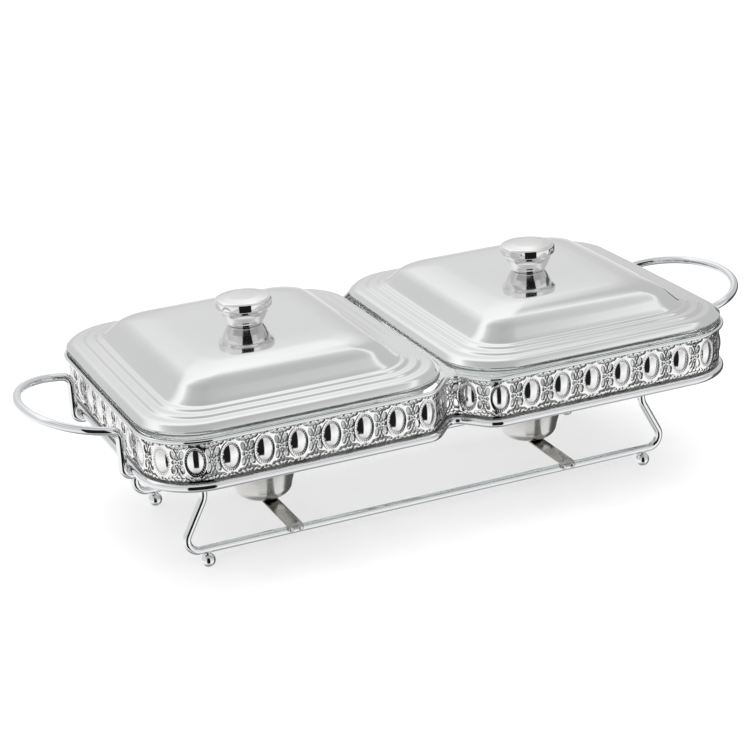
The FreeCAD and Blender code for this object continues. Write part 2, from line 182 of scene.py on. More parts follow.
def loft(rings, wrap=False):
    """Closed skin through rings of points: ends are capped unless the rings wrap round."""
    per_ring = len(rings[0])
    faces = loft_faces(len(rings), per_ring, wrap)
    if not wrap:
        last = (len(rings) - 1) * per_ring
        faces.append(tuple(range(per_ring))[::-1])
        faces.append(tuple(range(last, last + per_ring)))
    return np.vstack(rings), faces


def sweep(points, section, closed=False, start_normal=(0, 0, 1)):
    """Carries a flat section along a path without twist. The section may change along the path."""
    points = np.asarray(points, float)
    if closed:
        ahead = np.roll(points, -1, 0) - points
    else:
        ahead = np.diff(points, axis=0)
        ahead = np.vstack([ahead, ahead[-1:]])
    ahead /= np.linalg.norm(ahead, axis=1)[:, None]
    behind = np.roll(ahead, 1, 0)
    if not closed:
        behind[0] = ahead[0]
    normal = np.array(start_normal, float)
    rings = []
    for index, point in enumerate(points):
        tangent = ahead[index] + behind[index]
        tangent /= np.linalg.norm(tangent)
        normal = normal - tangent * normal.dot(tangent)
        normal /= np.linalg.norm(normal)
        side = np.cross(tangent, normal)
        outline = section(index, len(points))
        rings.append(point + outline[:, :1] * side + outline[:, 1:] * normal)
    return loft(rings, wrap=closed)


def tube(points, radius, closed=False, sides=28, start_normal=(0, 0, 1)):
    """Round wire along a path. Open ends get a small turned edge."""
    points = np.asarray(points, float)
    angles = np.linspace(0, 2 * math.pi, sides, endpoint=False)
    circle = np.column_stack([np.cos(angles), np.sin(angles)])
    radii = np.full(len(points), radius)
    if not closed:
        first = points[0] + (points[1] - points[0]) / np.linalg.norm(points[1] - points[0]) * WIRE_EDGE
        last = points[-1] + (points[-2] - points[-1]) / np.linalg.norm(points[-2] - points[-1]) * WIRE_EDGE
        points = np.vstack([points[:1], first, points[1:-1], last, points[-1:]])
        turned = [radius - WIRE_EDGE]
        radii = np.concatenate([turned, np.full(len(points) - 2, radius), turned])
    return sweep(points, lambda index, count: circle * radii[index], closed, start_normal)


def lathe(profile, x, y=0.0, segments=96, wrap=False):
    """Turns (radius, height) points about a vertical line. Points on the line close the ends."""
    angles = np.linspace(0, 2 * math.pi, segments, endpoint=False)
    rings = []
    for radius, height in profile:
        radius = max(radius, POINT_R)
        ring = [x + radius * np.cos(angles), y + radius * np.sin(angles), np.full(segments, height)]
        rings.append(np.column_stack(ring))
    return loft(rings, wrap)


# how far the middle of a side bows out past its corners
SIDE_BOW = 1.4
SIDE_POINTS = 9
# outlines with a half width under the first value get none of the extra depth, and it grows to
# the whole over the second
EXTRA_DEPTH_FROM = 20.0
EXTRA_DEPTH_OVER = 30.0


def unit_ring(half, corner, z):
    """Round-cornered outline of a dish or lid, deeper than wide, its sides bowed out a little."""
    corner = min(corner, half)
    flat = half - corner
    points = []
    for turn in range(4):
        spin = math.radians(90 * turn)
        side = [(half, share * flat) for share in np.linspace(-1, 1, SIDE_POINTS)[1:-1]]
        quarter = np.vstack([np.array(side), arc((flat, flat), corner, 0, 90, step=6.0)])
        cosine, sine = math.cos(spin), math.sin(spin)
        points.append(quarter @ np.array([[cosine, sine], [-sine, cosine]]))
    ring = np.vstack(points)
    ring = ring * (1 - SIDE_BOW / half**3 * ring[:, ::-1] ** 2)
    extra = UNIT_EXTRA_DEPTH * min(max(half - EXTRA_DEPTH_FROM, 0.0) / EXTRA_DEPTH_OVER, 1.0)
    ring[:, 1] += extra * np.clip(ring[:, 1] / max(flat, 1.0), -1, 1)
    return np.column_stack([UNIT_X + ring[:, 0], ring[:, 1], np.full(len(ring), z)])


# edges that turn by more than this many degrees are shaded crisp
SHARP_EDGE = 40.0
SERVER_SHARP_EDGE = 50.0
BAND_SHARP_EDGE = 60.0


def new_piece(name, shape, material, body, replaced, sharp=SHARP_EDGE):
    """Makes one visible piece from (points in millimetres, faces) and ties it to the CAD."""
    points, faces = shape
    mesh = bpy.data.meshes.new(name)
    mesh.from_pydata((np.asarray(points) * MM).tolist(), [], faces)
    return finish_piece(name, mesh, material, body, replaced, sharp)


def finish_piece(name, mesh, material, body, replaced, sharp):
    """Turns every face outwards, shades the mesh and ties it to its body."""
    mesh.validate()
    shell = bmesh.new()
    shell.from_mesh(mesh)
    bmesh.ops.recalc_face_normals(shell, faces=shell.faces)
    shell.to_mesh(mesh)
    shell.free()
    mesh.shade_smooth()
    mesh.set_sharp_from_angle(angle=math.radians(sharp))
    mesh.materials.append(material)
    piece = bpy.data.objects.new(name, mesh)
    bpy.context.scene.collection.objects.link(piece)
    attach(piece, body)
    if replaced:
        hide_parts(*replaced)
    return piece


def gather(shapes):
    """Several shapes as one (points, faces)."""
    points, faces, offset = [], [], 0
    for shape_points, shape_faces in shapes:
        points.append(shape_points)
        faces += [tuple(index + offset for index in face) for face in shape_faces]
        offset += len(shape_points)
    return np.vstack(points), faces


def mirrored(shape, axis):
    """Mirror image across the plane x = 0 (axis 0) or y = 0 (axis 1)."""
    points, faces = shape
    points = np.array(points, float)
    points[:, axis] *= -1
    return points, [face[::-1] for face in faces]


# ---- materials ---------------------------------------------------------------------------

# the middle of a noise, which is what is spread over a material's range
NOISE_SPAN = (0.3, 0.7)
# depth of the fine grain in metres
GRAIN_DEPTH = 0.0002
# each pair of tints is mixed by a noise or, on the band, by painted shade, whose near-black is the band's
# second tint
GLASS_TINTS = ((0.97, 0.99, 0.985), (0.94, 0.975, 0.965))
GLASS_CLEARNESS = 0.88
GLASS_IOR = 1.5
BAND_TINT_AND_PAINTED_SHADE = ((0.96, 0.96, 0.955), (0.035, 0.031, 0.025))


def start_material(name):
    material = bpy.data.materials.new(name)
    material.use_nodes = True
    tree = material.node_tree
    return material, tree, tree.nodes["Principled BSDF"]


def noise(tree, scale, detail=2.0, stretch=(1, 1, 1)):
    """Noise in object space; stretch over 1 makes it finer along that axis."""
    place = tree.nodes.new("ShaderNodeTexCoord")
    mapping = tree.nodes.new("ShaderNodeMapping")
    mapping.inputs["Scale"].default_value = stretch
    texture = tree.nodes.new("ShaderNodeTexNoise")
    texture.inputs["Scale"].default_value = scale
    texture.inputs["Detail"].default_value = detail
    tree.links.new(place.outputs["Object"], mapping.inputs["Vector"])
    tree.links.new(mapping.outputs["Vector"], texture.inputs["Vector"])
    return texture.outputs["Fac"]


def remap(tree, value, low, high):
    """Spreads the middle of a noise over low..high."""
    node = tree.nodes.new("ShaderNodeMapRange")
    node.inputs["From Min"].default_value = NOISE_SPAN[0]
    node.inputs["From Max"].default_value = NOISE_SPAN[1]
    node.inputs["To Min"].default_value = low
    node.inputs["To Max"].default_value = high
    tree.links.new(value, node.inputs["Value"])
    return node.outputs["Result"]


def blend_colours(tree, factor, first, second):
    node = tree.nodes.new("ShaderNodeMix")
    node.data_type = "RGBA"
    node.inputs["A"].default_value = (*first, 1)
    node.inputs["B"].default_value = (*second, 1)
    tree.links.new(factor, node.inputs["Factor"])
    return node.outputs["Result"]


def bump(tree, shader, height, strength):
    node = tree.nodes.new("ShaderNodeBump")
    node.inputs["Strength"].default_value = strength
    node.inputs["Distance"].default_value = GRAIN_DEPTH
    tree.links.new(height, node.inputs["Height"])
    tree.links.new(node.outputs["Normal"], shader.inputs["Normal"])


def metal(name, light, dark, smooth, dull, cloud_scale, grain_scale, grain, stretch=(1, 1, 1)):
    """Polished metal: two close tints and two roughnesses mixed by noise, with a fine grain."""
    material, tree, shader = start_material(name)
    shader.inputs["Metallic"].default_value = 1.0
    cloud = noise(tree, cloud_scale, detail=3.0)
    tint = blend_colours(tree, remap(tree, cloud, 0.0, 1.0), light, dark)
    tree.links.new(tint, shader.inputs["Base Color"])
    scuff = noise(tree, grain_scale, detail=4.0, stretch=stretch)
    tree.links.new(remap(tree, scuff, smooth, dull), shader.inputs["Roughness"])
    bump(tree, shader, scuff, grain)
    return material


def glass():
    material, tree, shader = start_material("dish_glass")
    shader.inputs["Transmission Weight"].default_value = GLASS_CLEARNESS
    shader.inputs["IOR"].default_value = GLASS_IOR
    ripple = noise(tree, scale=40.0)
    tint = blend_colours(tree, remap(tree, ripple, 0.0, 1.0), *GLASS_TINTS)
    tree.links.new(tint, shader.inputs["Base Color"])
    tree.links.new(remap(tree, ripple, 0.0, 0.03), shader.inputs["Roughness"])
    return material


def band_metal():
    """Stamped bright metal with painted shade in the grooves, dots and opening edges of its pattern and
    along its lower border.
    """
    material, tree, shader = start_material("stamped_band")
    shader.inputs["Metallic"].default_value = 1.0
    painted_shade = tree.nodes.new("ShaderNodeAttribute")
    painted_shade.attribute_name = "painted_shade"
    # a fine noise varies the strength of the painted shade, the roughness and the bump; the painted shade
    # mixes the bright tint towards near-black
    band_noise = noise(tree, scale=260.0, detail=3.0)
    shade_amount = tree.nodes.new("ShaderNodeMath")
    shade_amount.operation = "MULTIPLY"
    tree.links.new(painted_shade.outputs["Fac"], shade_amount.inputs[0])
    tree.links.new(remap(tree, band_noise, 0.86, 1.0), shade_amount.inputs[1])
    tint = blend_colours(tree, shade_amount.outputs["Value"], *BAND_TINT_AND_PAINTED_SHADE)
    tree.links.new(tint, shader.inputs["Base Color"])
    tree.links.new(remap(tree, band_noise, 0.05, 0.14), shader.inputs["Roughness"])
    bump(tree, shader, band_noise, strength=0.05)
    return material


CHROME = metal(
    "wire_chrome",
    light=(0.93, 0.94, 0.95),
    dark=(0.86, 0.87, 0.89),
    smooth=0.02,
    dull=0.07,
    cloud_scale=18.0,
    grain_scale=220.0,
    grain=0.03,
)
WELD = metal(
    "weld_chrome",
    light=(0.86, 0.87, 0.88),
    dark=(0.66, 0.67, 0.69),
    smooth=0.08,
    dull=0.25,
    cloud_scale=300.0,
    grain_scale=900.0,
    grain=0.35,
)
BALL = metal(
    "ball_chrome",
    light=(0.93, 0.93, 0.94),
    dark=(0.86, 0.87, 0.88),
    smooth=0.03,
    dull=0.09,
    cloud_scale=90.0,
    grain_scale=500.0,
    grain=0.04,
)
STRAP = metal(
    "strap_steel",
    light=(0.60, 0.585, 0.56),
    dark=(0.46, 0.45, 0.43),
    smooth=0.06,
    dull=0.16,
    cloud_scale=60.0,
    grain_scale=700.0,
    grain=0.06,
    stretch=(1, 0.1, 1),
)
CUP = metal(
    "cup_satin",
    light=(0.82, 0.815, 0.80),
    dark=(0.72, 0.71, 0.69),
    smooth=0.16,
    dull=0.24,
    cloud_scale=40.0,
    grain_scale=260.0,
    grain=0.03,
    stretch=(1, 1, 5),
)
FASTENER = metal(
    "fastener_steel",
    light=(0.74, 0.74, 0.73),
    dark=(0.56, 0.56, 0.56),
    smooth=0.12,
    dull=0.28,
    cloud_scale=200.0,
    grain_scale=900.0,
    grain=0.12,
)
LID = metal(
    "lid_polish",
    light=(0.87, 0.875, 0.875),
    dark=(0.82, 0.825, 0.825),
    smooth=0.05,
    dull=0.11,
    cloud_scale=9.0,
    grain_scale=160.0,
    grain=0.015,
    stretch=(1, 7, 1),
)
KNOB = metal(
    "knob_mirror",
    light=(0.92, 0.92, 0.915),
    dark=(0.84, 0.84, 0.835),
    smooth=0.015,
    dull=0.05,
    cloud_scale=60.0,
    grain_scale=260.0,
    grain=0.02,
)
GLASS = glass()
BAND = band_metal()

# ---- rails -----------------------------------------------------------------------------------


def rail_quarter(inset, step):
    """Outline from the notch root to the middle of the right end."""
    both = NOTCH_MOUTH_R + NOTCH_ROOT_R
    rest = both - NOTCH_DEPTH
    straight = math.sqrt(NOTCH_HALF_WIDTH**2 + rest**2 - both**2)
    turn = math.degrees(math.atan2(both, straight) - math.atan2(rest, NOTCH_HALF_WIDTH))
    half_x = RAIL_HALF_X - inset
    half_y = RAIL_HALF_Y - inset
    corner = RAIL_CORNER_R - inset
    root = (0.0, -RAIL_HALF_Y + NOTCH_DEPTH - NOTCH_ROOT_R)
    mouth = (NOTCH_HALF_WIDTH, -RAIL_HALF_Y + NOTCH_MOUTH_R)
    end = (half_x - corner, -half_y + corner)
    return np.vstack(
        [
            arc(root, NOTCH_ROOT_R + inset, 90, 90 - turn, step),
            arc(mouth, NOTCH_MOUTH_R - inset, 270 - turn, 270, step),
            arc(end, corner, 270, 360, step),
            [[half_x, 0.0]],
        ]
    )


def rail_outline(inset, z, step=5.0):
    """Whole closed outline, from the front notch round by the right."""
    quarter = rail_quarter(inset, step)
    right = np.vstack([quarter[:-1], (quarter * [1, -1])[::-1][:-1]])
    whole = np.vstack([right, -right])
    return np.column_stack([whole, np.full(len(whole), z)])


def make_rails():
    top = tube(rail_outline(0.0, TOP_RAIL_Z), TOP_WIRE_R, closed=True)
    bottom = tube(rail_outline(BOTTOM_RAIL_INSET, BOTTOM_RAIL_Z), WIRE_R, closed=True)
    new_piece("top_rail_wire", top, CHROME, "rack", ["top_rail"])
    new_piece("bottom_rail_wire", bottom, CHROME, "rack", ["bottom_rail"])


# ---- pierced band ------------------------------------------------------------------------------

# repeats of the lace: the width of one along the front, and how many there are to a quarter of
# the rack, along the front and round the end
BAND_PITCH = 23.5
FRONT_REPEATS = 9
END_REPEATS = 5
# degrees between points on the bends of the band's path
BAND_BEND_STEP = 1.5

# fineness of the mesh of one repeat, the room above and below it, how near the outline a grid
# point may lie, and the step that points are rounded to when repeats are joined
TILE_CELLS = 60
TILE_MARGIN = 0.2
OUTLINE_NUDGE = 0.02
POINT_SNAP = 0.002
HALF_TILE = BAND_PITCH / 2
HALF_BAND = (BAND_TOP_Z - BAND_BOTTOM_Z) / 2
CABOCHON = (5.3, 7.9)
DOME_RISE = 1.45
BEADS = 30
STAMP_RISE = 0.26
BACK_RELIEF = 0.5
# from this height down the strands lose their relief and the band takes full painted shade, reached over
# BORDER_FADE
BORDER_V = -12.9
BORDER_FADE = 0.3

# rings round the oval as (place, width), both as parts of the oval's size
GROOVE = (1.03, 0.035)
DOTS = (1.16, 0.055)
RIM = (1.31, 0.06)
OVAL_FADE = 0.06
GROOVE_DEPTH = 0.25
DOT_DEPTH = 0.3
DOT_SPREAD = 0.2
RIM_RISE = 0.2

# how far in from an opening the metal is rounded and given painted shade, and how strong the painted shade
# in the groove is
STRAND_ROUNDING = 0.3
EDGE_SHADE = 0.24
GROOVE_SHADE = 0.8

# openings of a quarter repeat as (across, up, half width, half height, tilt in degrees);
# the oval is at 0 across and the chain at half a repeat
OPENINGS = (
    (8.75, 5.0, 1.25, 2.9, 12),
    (8.9, 0.0, 0.75, 1.25, 0),
    (10.8, 0.0, 0.38, 0.55, 0),
    (11.8, 1.75, 0.5, 0.62, 0),
    (11.8, 5.3, 0.42, 1.7, 0),
    (10.75, 3.1, 0.42, 1.35, -14),
    (10.65, 8.2, 0.42, 1.5, 24),
    (11.8, 10.1, 1.35, 0.95, 0),
    (8.6, 10.2, 1.55, 0.85, -18),
    (5.6, 10.9, 1.6, 0.6, -38),
    (9.6, 12.4, 1.15, 0.42, 40),
    (2.7, 12.3, 1.3, 0.5, 24),
    (6.6, 12.9, 0.7, 0.5, 0),
    (0.0, 11.7, 0.75, 0.75, 0),
    (11.8, 12.7, 0.5, 0.5, 0),
)


# a level or length under the first counts as none, and the second keeps a slope above zero
NEARLY_ZERO = 1e-6
SLOPE_FLOOR = 1e-9


def ellipse_distance(u, v, half_u, half_v):
    """Rough distance inside an ellipse (positive inside)."""
    level = np.hypot(u / half_u, v / half_v)
    slope = np.hypot(u / half_u**2, v / half_v**2) + SLOPE_FLOOR
    middle = min(half_u, half_v)
    return np.where(level > NEARLY_ZERO, np.minimum((1 - level) * level / slope, middle), middle)


def lace_inside(u, v):
    """How far inside the metal a point of the repeat is, in millimetres."""
    across = np.abs(u)
    up = np.abs(v)
    inside = HALF_BAND - up
    for centre_u, centre_v, half_u, half_v, tilt in OPENINGS:
        cosine = math.cos(math.radians(tilt))
        sine = math.sin(math.radians(tilt))
        beside = across - centre_u
        above = up - centre_v
        turned_u = beside * cosine + above * sine
        turned_v = above * cosine - beside * sine
        inside = np.minimum(inside, -ellipse_distance(turned_u, turned_v, half_u, half_v))
    return inside


def bell(value, centre, width):
    return np.exp(-(((value - centre) / width) ** 2))


def lace_relief(u, v, inside):
    """Height of the stamped face, and how much painted shade each point gets."""
    level = np.hypot(u / CABOCHON[0], v / CABOCHON[1])
    dome = np.maximum(DOME_RISE * (1 - level**2), 0)
    outside = np.clip((level - 1.0) / OVAL_FADE, 0, 1)
    groove = bell(level, *GROOVE)
    rim = bell(level, *RIM)
    angle = np.arctan2(v / CABOCHON[1], u / CABOCHON[0])
    dots = bell(level, *DOTS) * np.clip(DOT_SPREAD + np.cos(BEADS * angle), 0, 1)
    strand = STAMP_RISE * np.clip(inside / STRAND_ROUNDING, 0, 1) * outside
    border = np.clip((BORDER_V - v) / BORDER_FADE, 0, 1)
    height = strand * (1 - border) + dome - GROOVE_DEPTH * groove + RIM_RISE * rim - DOT_DEPTH * dots
    # painted shade in the groove and dots, near the openings' edges and along the lower border
    edge = np.clip(1 - inside / EDGE_SHADE, 0, 1)
    dark = GROOVE_SHADE * groove + dots + edge * (1 - border) + border
    return height, np.clip(dark, 0, 1)


def marching_tile():
    """Outline-following cells of one repeat: points (u, v) and faces."""
    rows = math.ceil(2 * (HALF_BAND + TILE_MARGIN) / (BAND_PITCH / TILE_CELLS))
    us = np.linspace(-HALF_TILE, HALF_TILE, TILE_CELLS + 1)
    vs = np.linspace(-HALF_BAND - TILE_MARGIN, HALF_BAND + TILE_MARGIN, rows + 1)
    grid_u, grid_v = np.meshgrid(us, vs, indexing="ij")
    value = lace_inside(grid_u, grid_v)
    value[np.abs(value) < OUTLINE_NUDGE] = OUTLINE_NUDGE
    numbers = {}
    points = []

    def vertex(key, u, v):
        if key not in numbers:
            numbers[key] = len(points)
            points.append((u, v))
        return numbers[key]

    faces = []
    for i in range(TILE_CELLS):
        for j in range(rows):
            corners = [(i, j), (i + 1, j), (i + 1, j + 1), (i, j + 1)]
            if max(value[c] for c in corners) <= 0:
                continue
            face = []
            for here, there in zip(corners, corners[1:] + corners[:1]):
                if value[here] > 0:
                    face.append(vertex(here, us[here[0]], vs[here[1]]))
                if (value[here] > 0) != (value[there] > 0):
                    share = value[here] / (value[here] - value[there])
                    u = us[here[0]] + share * (us[there[0]] - us[here[0]])
                    v = vs[here[1]] + share * (vs[there[1]] - vs[here[1]])
                    face.append(vertex(tuple(sorted([here, there])), u, v))
            faces.append(tuple(face))
    return np.array(points), faces


def band_path():
    """Middle line of the band once round: distance, point and outward direction."""
    outline = rail_outline(BAND_INSET, 0.0, BAND_BEND_STEP)[:, :2]
    outline = np.vstack([outline, outline[:1]])
    steps = np.diff(outline, axis=0)
    lengths = np.linalg.norm(steps, axis=1)
    keep = np.concatenate([[True], lengths > NEARLY_ZERO])
    outline = outline[keep]
    steps = np.diff(outline, axis=0)
    lengths = np.linalg.norm(steps, axis=1)
    heading = steps / lengths[:, None]
    heading = np.vstack([heading, heading[:1]]) + np.vstack([heading[-1:], heading])
    outward = np.column_stack([heading[:, 1], -heading[:, 0]])
    outward /= np.linalg.norm(outward, axis=1)[:, None]
    return np.concatenate([[0], np.cumsum(lengths)]), outline, outward


def repeat_edges(total):
    """Where each repeat starts, from the front notch: even along the front, then even round each end."""
    quarter = total / 4
    front = np.arange(FRONT_REPEATS + 1) * BAND_PITCH
    end = np.linspace(front[-1], quarter, END_REPEATS + 1)[1:]
    edges = np.concatenate([front, end])
    half = np.concatenate([edges, 2 * quarter - edges[::-1][1:]])
    return np.concatenate([half, 2 * quarter + half[1:]])


def flat_lace(tiles, total):
    """Repeats of the lace, from tile number tiles[0] up to tiles[1], joined into one flat strip.

    Each point is (distance along the band, height from its middle, relief, painted shade).
    """
    flat, cell_faces = marching_tile()
    edges = repeat_edges(total)
    count = len(edges) - 1
    inside = lace_inside(flat[:, 0], flat[:, 1])
    relief, dark = lace_relief(flat[:, 0], flat[:, 1], inside)
    repeats = []
    for tile in range(*tiles):
        start, finish = edges[tile % count], edges[tile % count + 1]
        turns = math.floor(tile / count)
        along = turns * total + start + (flat[:, 0] / BAND_PITCH + 0.5) * (finish - start)
        repeats.append(np.column_stack([along, flat[:, 1], relief, dark]))
    stacked = np.vstack(repeats)
    snapped = np.round(stacked[:, :2] / POINT_SNAP).astype(np.int64)
    _, first, back = np.unique(snapped, axis=0, return_index=True, return_inverse=True)
    back = back.reshape(-1)
    faces = []
    for number in range(len(repeats)):
        offset = number * len(flat)
        faces += [tuple(back[[index + offset for index in face]]) for face in cell_faces]
    return stacked[first], [face for face in faces if len(set(face)) == len(face)]


def thickened(faces, count):
    """The faces, the same faces behind them, and a wall along every edge that only one of them has."""
    sides = {}
    for face in faces:
        for here, there in zip(face, face[1:] + face[:1]):
            sides[(here, there)] = True
    rim = [(a, b) for a, b in sides if (b, a) not in sides]
    walls = [(b, a, a + count, b + count) for a, b in rim]
    behind = [tuple(index + count for index in face)[::-1] for face in faces]
    return faces + behind + walls


def band_strip(name, tiles, node):
    """One strip of stamped lace, standing between the rails."""
    distances, outline, outward = band_path()
    total = distances[-1]
    points, faces = flat_lace(tiles, total)
    along, v, relief, dark = points.T
    place = along % total
    centre = np.column_stack([np.interp(place, distances, outline[:, axis]) for axis in range(2)])
    direction = np.column_stack([np.interp(place, distances, outward[:, axis]) for axis in range(2)])
    direction /= np.linalg.norm(direction, axis=1)[:, None]
    z = v + (BAND_BOTTOM_Z + BAND_TOP_Z) / 2
    half = BAND_THICK / 2
    layers = []
    for depth in (relief - STAMP_RISE + half, relief * BACK_RELIEF - STAMP_RISE - half):
        layers.append(np.column_stack([centre + direction * depth[:, None], z]))
    mesh = bpy.data.meshes.new(name)
    mesh.from_pydata((np.vstack(layers) * MM).tolist(), [], thickened(faces, len(along)))
    # the band's painted shade, stored on its points for its material
    shade = mesh.attributes.new("painted_shade", "FLOAT", "POINT")
    shade.data.foreach_set("value", np.concatenate([dark, dark]).astype(np.float32))
    finish_piece(name, mesh, BAND, "rack", [node], BAND_SHARP_EDGE)


def make_band():
    """Two strips to each length of the band, meeting at the notches and at the middles of the ends."""
    quarter = FRONT_REPEATS + END_REPEATS
    straight = FRONT_REPEATS - 1
    strips = (
        ("front_left", -straight, 0, "front_band"),
        ("front_right", 0, straight, "front_band"),
        ("right_front", straight, quarter, "right_end_band"),
        ("right_rear", quarter, 2 * quarter - straight, "right_end_band"),
        ("rear_right", 2 * quarter - straight, 2 * quarter, "rear_band"),
        ("rear_left", 2 * quarter, 2 * quarter + straight, "rear_band"),
        ("left_rear", 2 * quarter + straight, 3 * quarter, "left_end_band"),
        ("left_front", 3 * quarter, 4 * quarter - straight, "left_end_band"),
    )
    for name, first, last, node in strips:
        band_strip("band_lace_" + name, (first, last), node)


# ---- handles, legs and feet ----------------------------------------------------------------------

LOOP_POINTS = 49

# half sizes of the weld beads along X, Y and Z
WELD_COLLAR = WIRE_R + 0.35
RISER_WELD = (1.5, WELD_COLLAR, WELD_COLLAR)
POST_WELD = (3.2, 2.4, 1.3)
RAIL_WELD = (1.2, 2.6, 2.6)
FOOT_WELD = (2.3, 2.3, 0.9)
STRAP_WELD = (2.2, 1.1, 1.7)

# a weld bead's mesh, and how lobed and how rough it is, as parts of its radius
NUGGET_SIDES = 20
NUGGET_LEVELS = 13
NUGGET_LOBES = 0.07
NUGGET_ROUGHNESS = 0.02


def bent(path, y):
    """Points (x, z) of an upright path, at one y."""
    path = np.asarray(path, float)
    return np.column_stack([path[:, 0], np.full(len(path), y), path[:, 1]])


def handle_shape():
    """Right handle: foot run, post, loop and back down, in one wire."""
    tilt = math.degrees(math.atan(LOOP_SLOPE))
    rise = LOOP_BEND_R * math.cos(math.radians(tilt))
    top_centre = (POST_X + LOOP_BEND_R, LOOP_Z - rise)
    side = np.vstack(
        [
            [[RISER_JOINT_X, FOOT_RUN_Z]],
            arc((POST_X - FOOT_BEND_R, FOOT_RUN_Z + FOOT_BEND_R), FOOT_BEND_R, -90, 0, step=9.0),
            arc(top_centre, LOOP_BEND_R, 180, 90 + tilt, step=9.0),
        ]
    )
    front = bent(side, -POST_Y)
    start_x, start_z = side[-1]
    reach = LOOP_TIP_X - WIRE_R - start_x
    angles = np.radians(np.linspace(-90, 90, LOOP_POINTS)[1:-1])
    out = reach * np.cos(angles)
    loop = np.column_stack([start_x + out, POST_Y * np.sin(angles), start_z + LOOP_SLOPE * out])
    rear = (front * [1, -1, 1])[::-1]
    return tube(np.vstack([front, loop, rear]), WIRE_R)


def leg_shape():
    """Front leg wire from one turned-out end to the other."""
    lean = math.radians(RISER_LEAN)
    corner = (LEG_CORNER_X, LEG_Z + LEG_CORNER_R)
    lean_start = np.array(corner) + np.array([math.cos(lean), math.sin(lean)]) * LEG_CORNER_R
    upward = np.array([-math.sin(lean), math.cos(lean)])
    meet = lean_start + upward * (lean_start[0] - RISER_X) / math.sin(lean)
    upright_z = meet[1] + RISER_BEND_R * math.tan(lean / 2)
    top_z = FOOT_RUN_Z - RISER_TOP_R
    half = np.vstack(
        [
            arc(corner, LEG_CORNER_R, -90, RISER_LEAN, step=8.0),
            arc((RISER_X + RISER_BEND_R, upright_z), RISER_BEND_R, 180 + RISER_LEAN, 180, step=7.0),
            arc((RISER_X + RISER_TOP_R, top_z), RISER_TOP_R, 180, 90, step=9.0),
            [[RISER_JOINT_X, FOOT_RUN_Z]],
        ]
    )
    whole = np.vstack([(half * [-1, 1])[::-1], half])
    return tube(bent(whole, -POST_Y), WIRE_R, start_normal=(0, 1, 0))


def nugget(centre, radii, seed):
    """Small uneven weld bead."""
    spread = np.random.default_rng(seed)
    rings = []
    turns = np.linspace(0, 2 * math.pi, NUGGET_SIDES, endpoint=False)
    for level in np.linspace(-88, 88, NUGGET_LEVELS):
        latitude = math.radians(level)
        lobes = NUGGET_LOBES * np.sin(3 * turns + seed) * math.cos(latitude)
        swell = 1 + lobes + NUGGET_ROUGHNESS * spread.standard_normal(NUGGET_SIDES)
        ring = [
            centre[0] + radii[0] * math.cos(latitude) * np.cos(turns) * swell,
            centre[1] + radii[1] * math.cos(latitude) * np.sin(turns) * swell,
            np.full(NUGGET_SIDES, centre[2] + radii[2] * math.sin(latitude)),
        ]
        rings.append(np.column_stack(ring))
    return loft(rings)


def weld_shapes():
    """Welds of the right front corner: riser to handle, post to rail, ball to leg, strap to leg."""
    rail_x = RAIL_HALF_X - BOTTOM_RAIL_INSET
    touch_z = (FOOT_RUN_Z + BOTTOM_RAIL_Z) / 2
    places = [
        ((RISER_JOINT_X, -POST_Y, FOOT_RUN_Z), RISER_WELD),
        ((rail_x - 1.0, -POST_Y, touch_z), POST_WELD),
        (((rail_x + POST_X) / 2, -POST_Y, BOTTOM_RAIL_Z), RAIL_WELD),
        ((FOOT_X, -POST_Y, LEG_Z - WIRE_R), FOOT_WELD),
    ]
    for side in (-1, 1):
        place = (CUP_X + side * STRAP_WIDTH * 0.3, -POST_Y - WIRE_R - 0.6, LEG_Z + 1.4)
        places.append((place, STRAP_WELD))
    return [nugget(centre, radii, seed) for seed, (centre, radii) in enumerate(places)]


def foot_shape():
    """Ball with the small flat it stands on, right front."""
    low = math.degrees(math.asin(FOOT_CENTRE_Z / FOOT_R))
    profile = [(0.0, 0.0)]
    for level in np.linspace(-low, 89.5, 34):
        angle = math.radians(level)
        profile.append((FOOT_R * math.cos(angle), FOOT_CENTRE_Z + FOOT_R * math.sin(angle)))
    return lathe(profile, FOOT_X, -POST_Y, segments=48)


def make_supports():
    for side, flip in (("right", False), ("left", True)):
        handle = handle_shape()
        foot = foot_shape()
        if flip:
            handle = mirrored(handle, 0)
            foot = mirrored(foot, 0)
        new_piece(side + "_handle_wire", handle, CHROME, "rack", [side + "_handle"])
        new_piece(side + "_front_ball", foot, BALL, "rack", [side + "_front_foot"])
        rear = mirrored(foot, 1)
        new_piece(side + "_rear_ball", rear, BALL, "rack", [side + "_rear_foot"])
    leg = leg_shape()
    new_piece("front_leg_wire", leg, CHROME, "rack", ["front_leg"])
    new_piece("rear_leg_wire", mirrored(leg, 1), CHROME, "rack", ["rear_leg"])
    corner = weld_shapes()
    right = corner + [mirrored(shape, 1) for shape in corner]
    welds = gather(right + [mirrored(shape, 0) for shape in right])
    new_piece("weld_beads", welds, WELD, "rack", [])


# ---- cups -------------------------------------------------------------------------------------------

STRAP_SOFTENING = 0.5
STRAP_END_SCALE = 0.94
CUP_LIP_SOFTENING = 0.4
RIVET_CROWN = 0.7
RIVET_EDGE = 0.3
RIVET_SOFTENING = 0.35


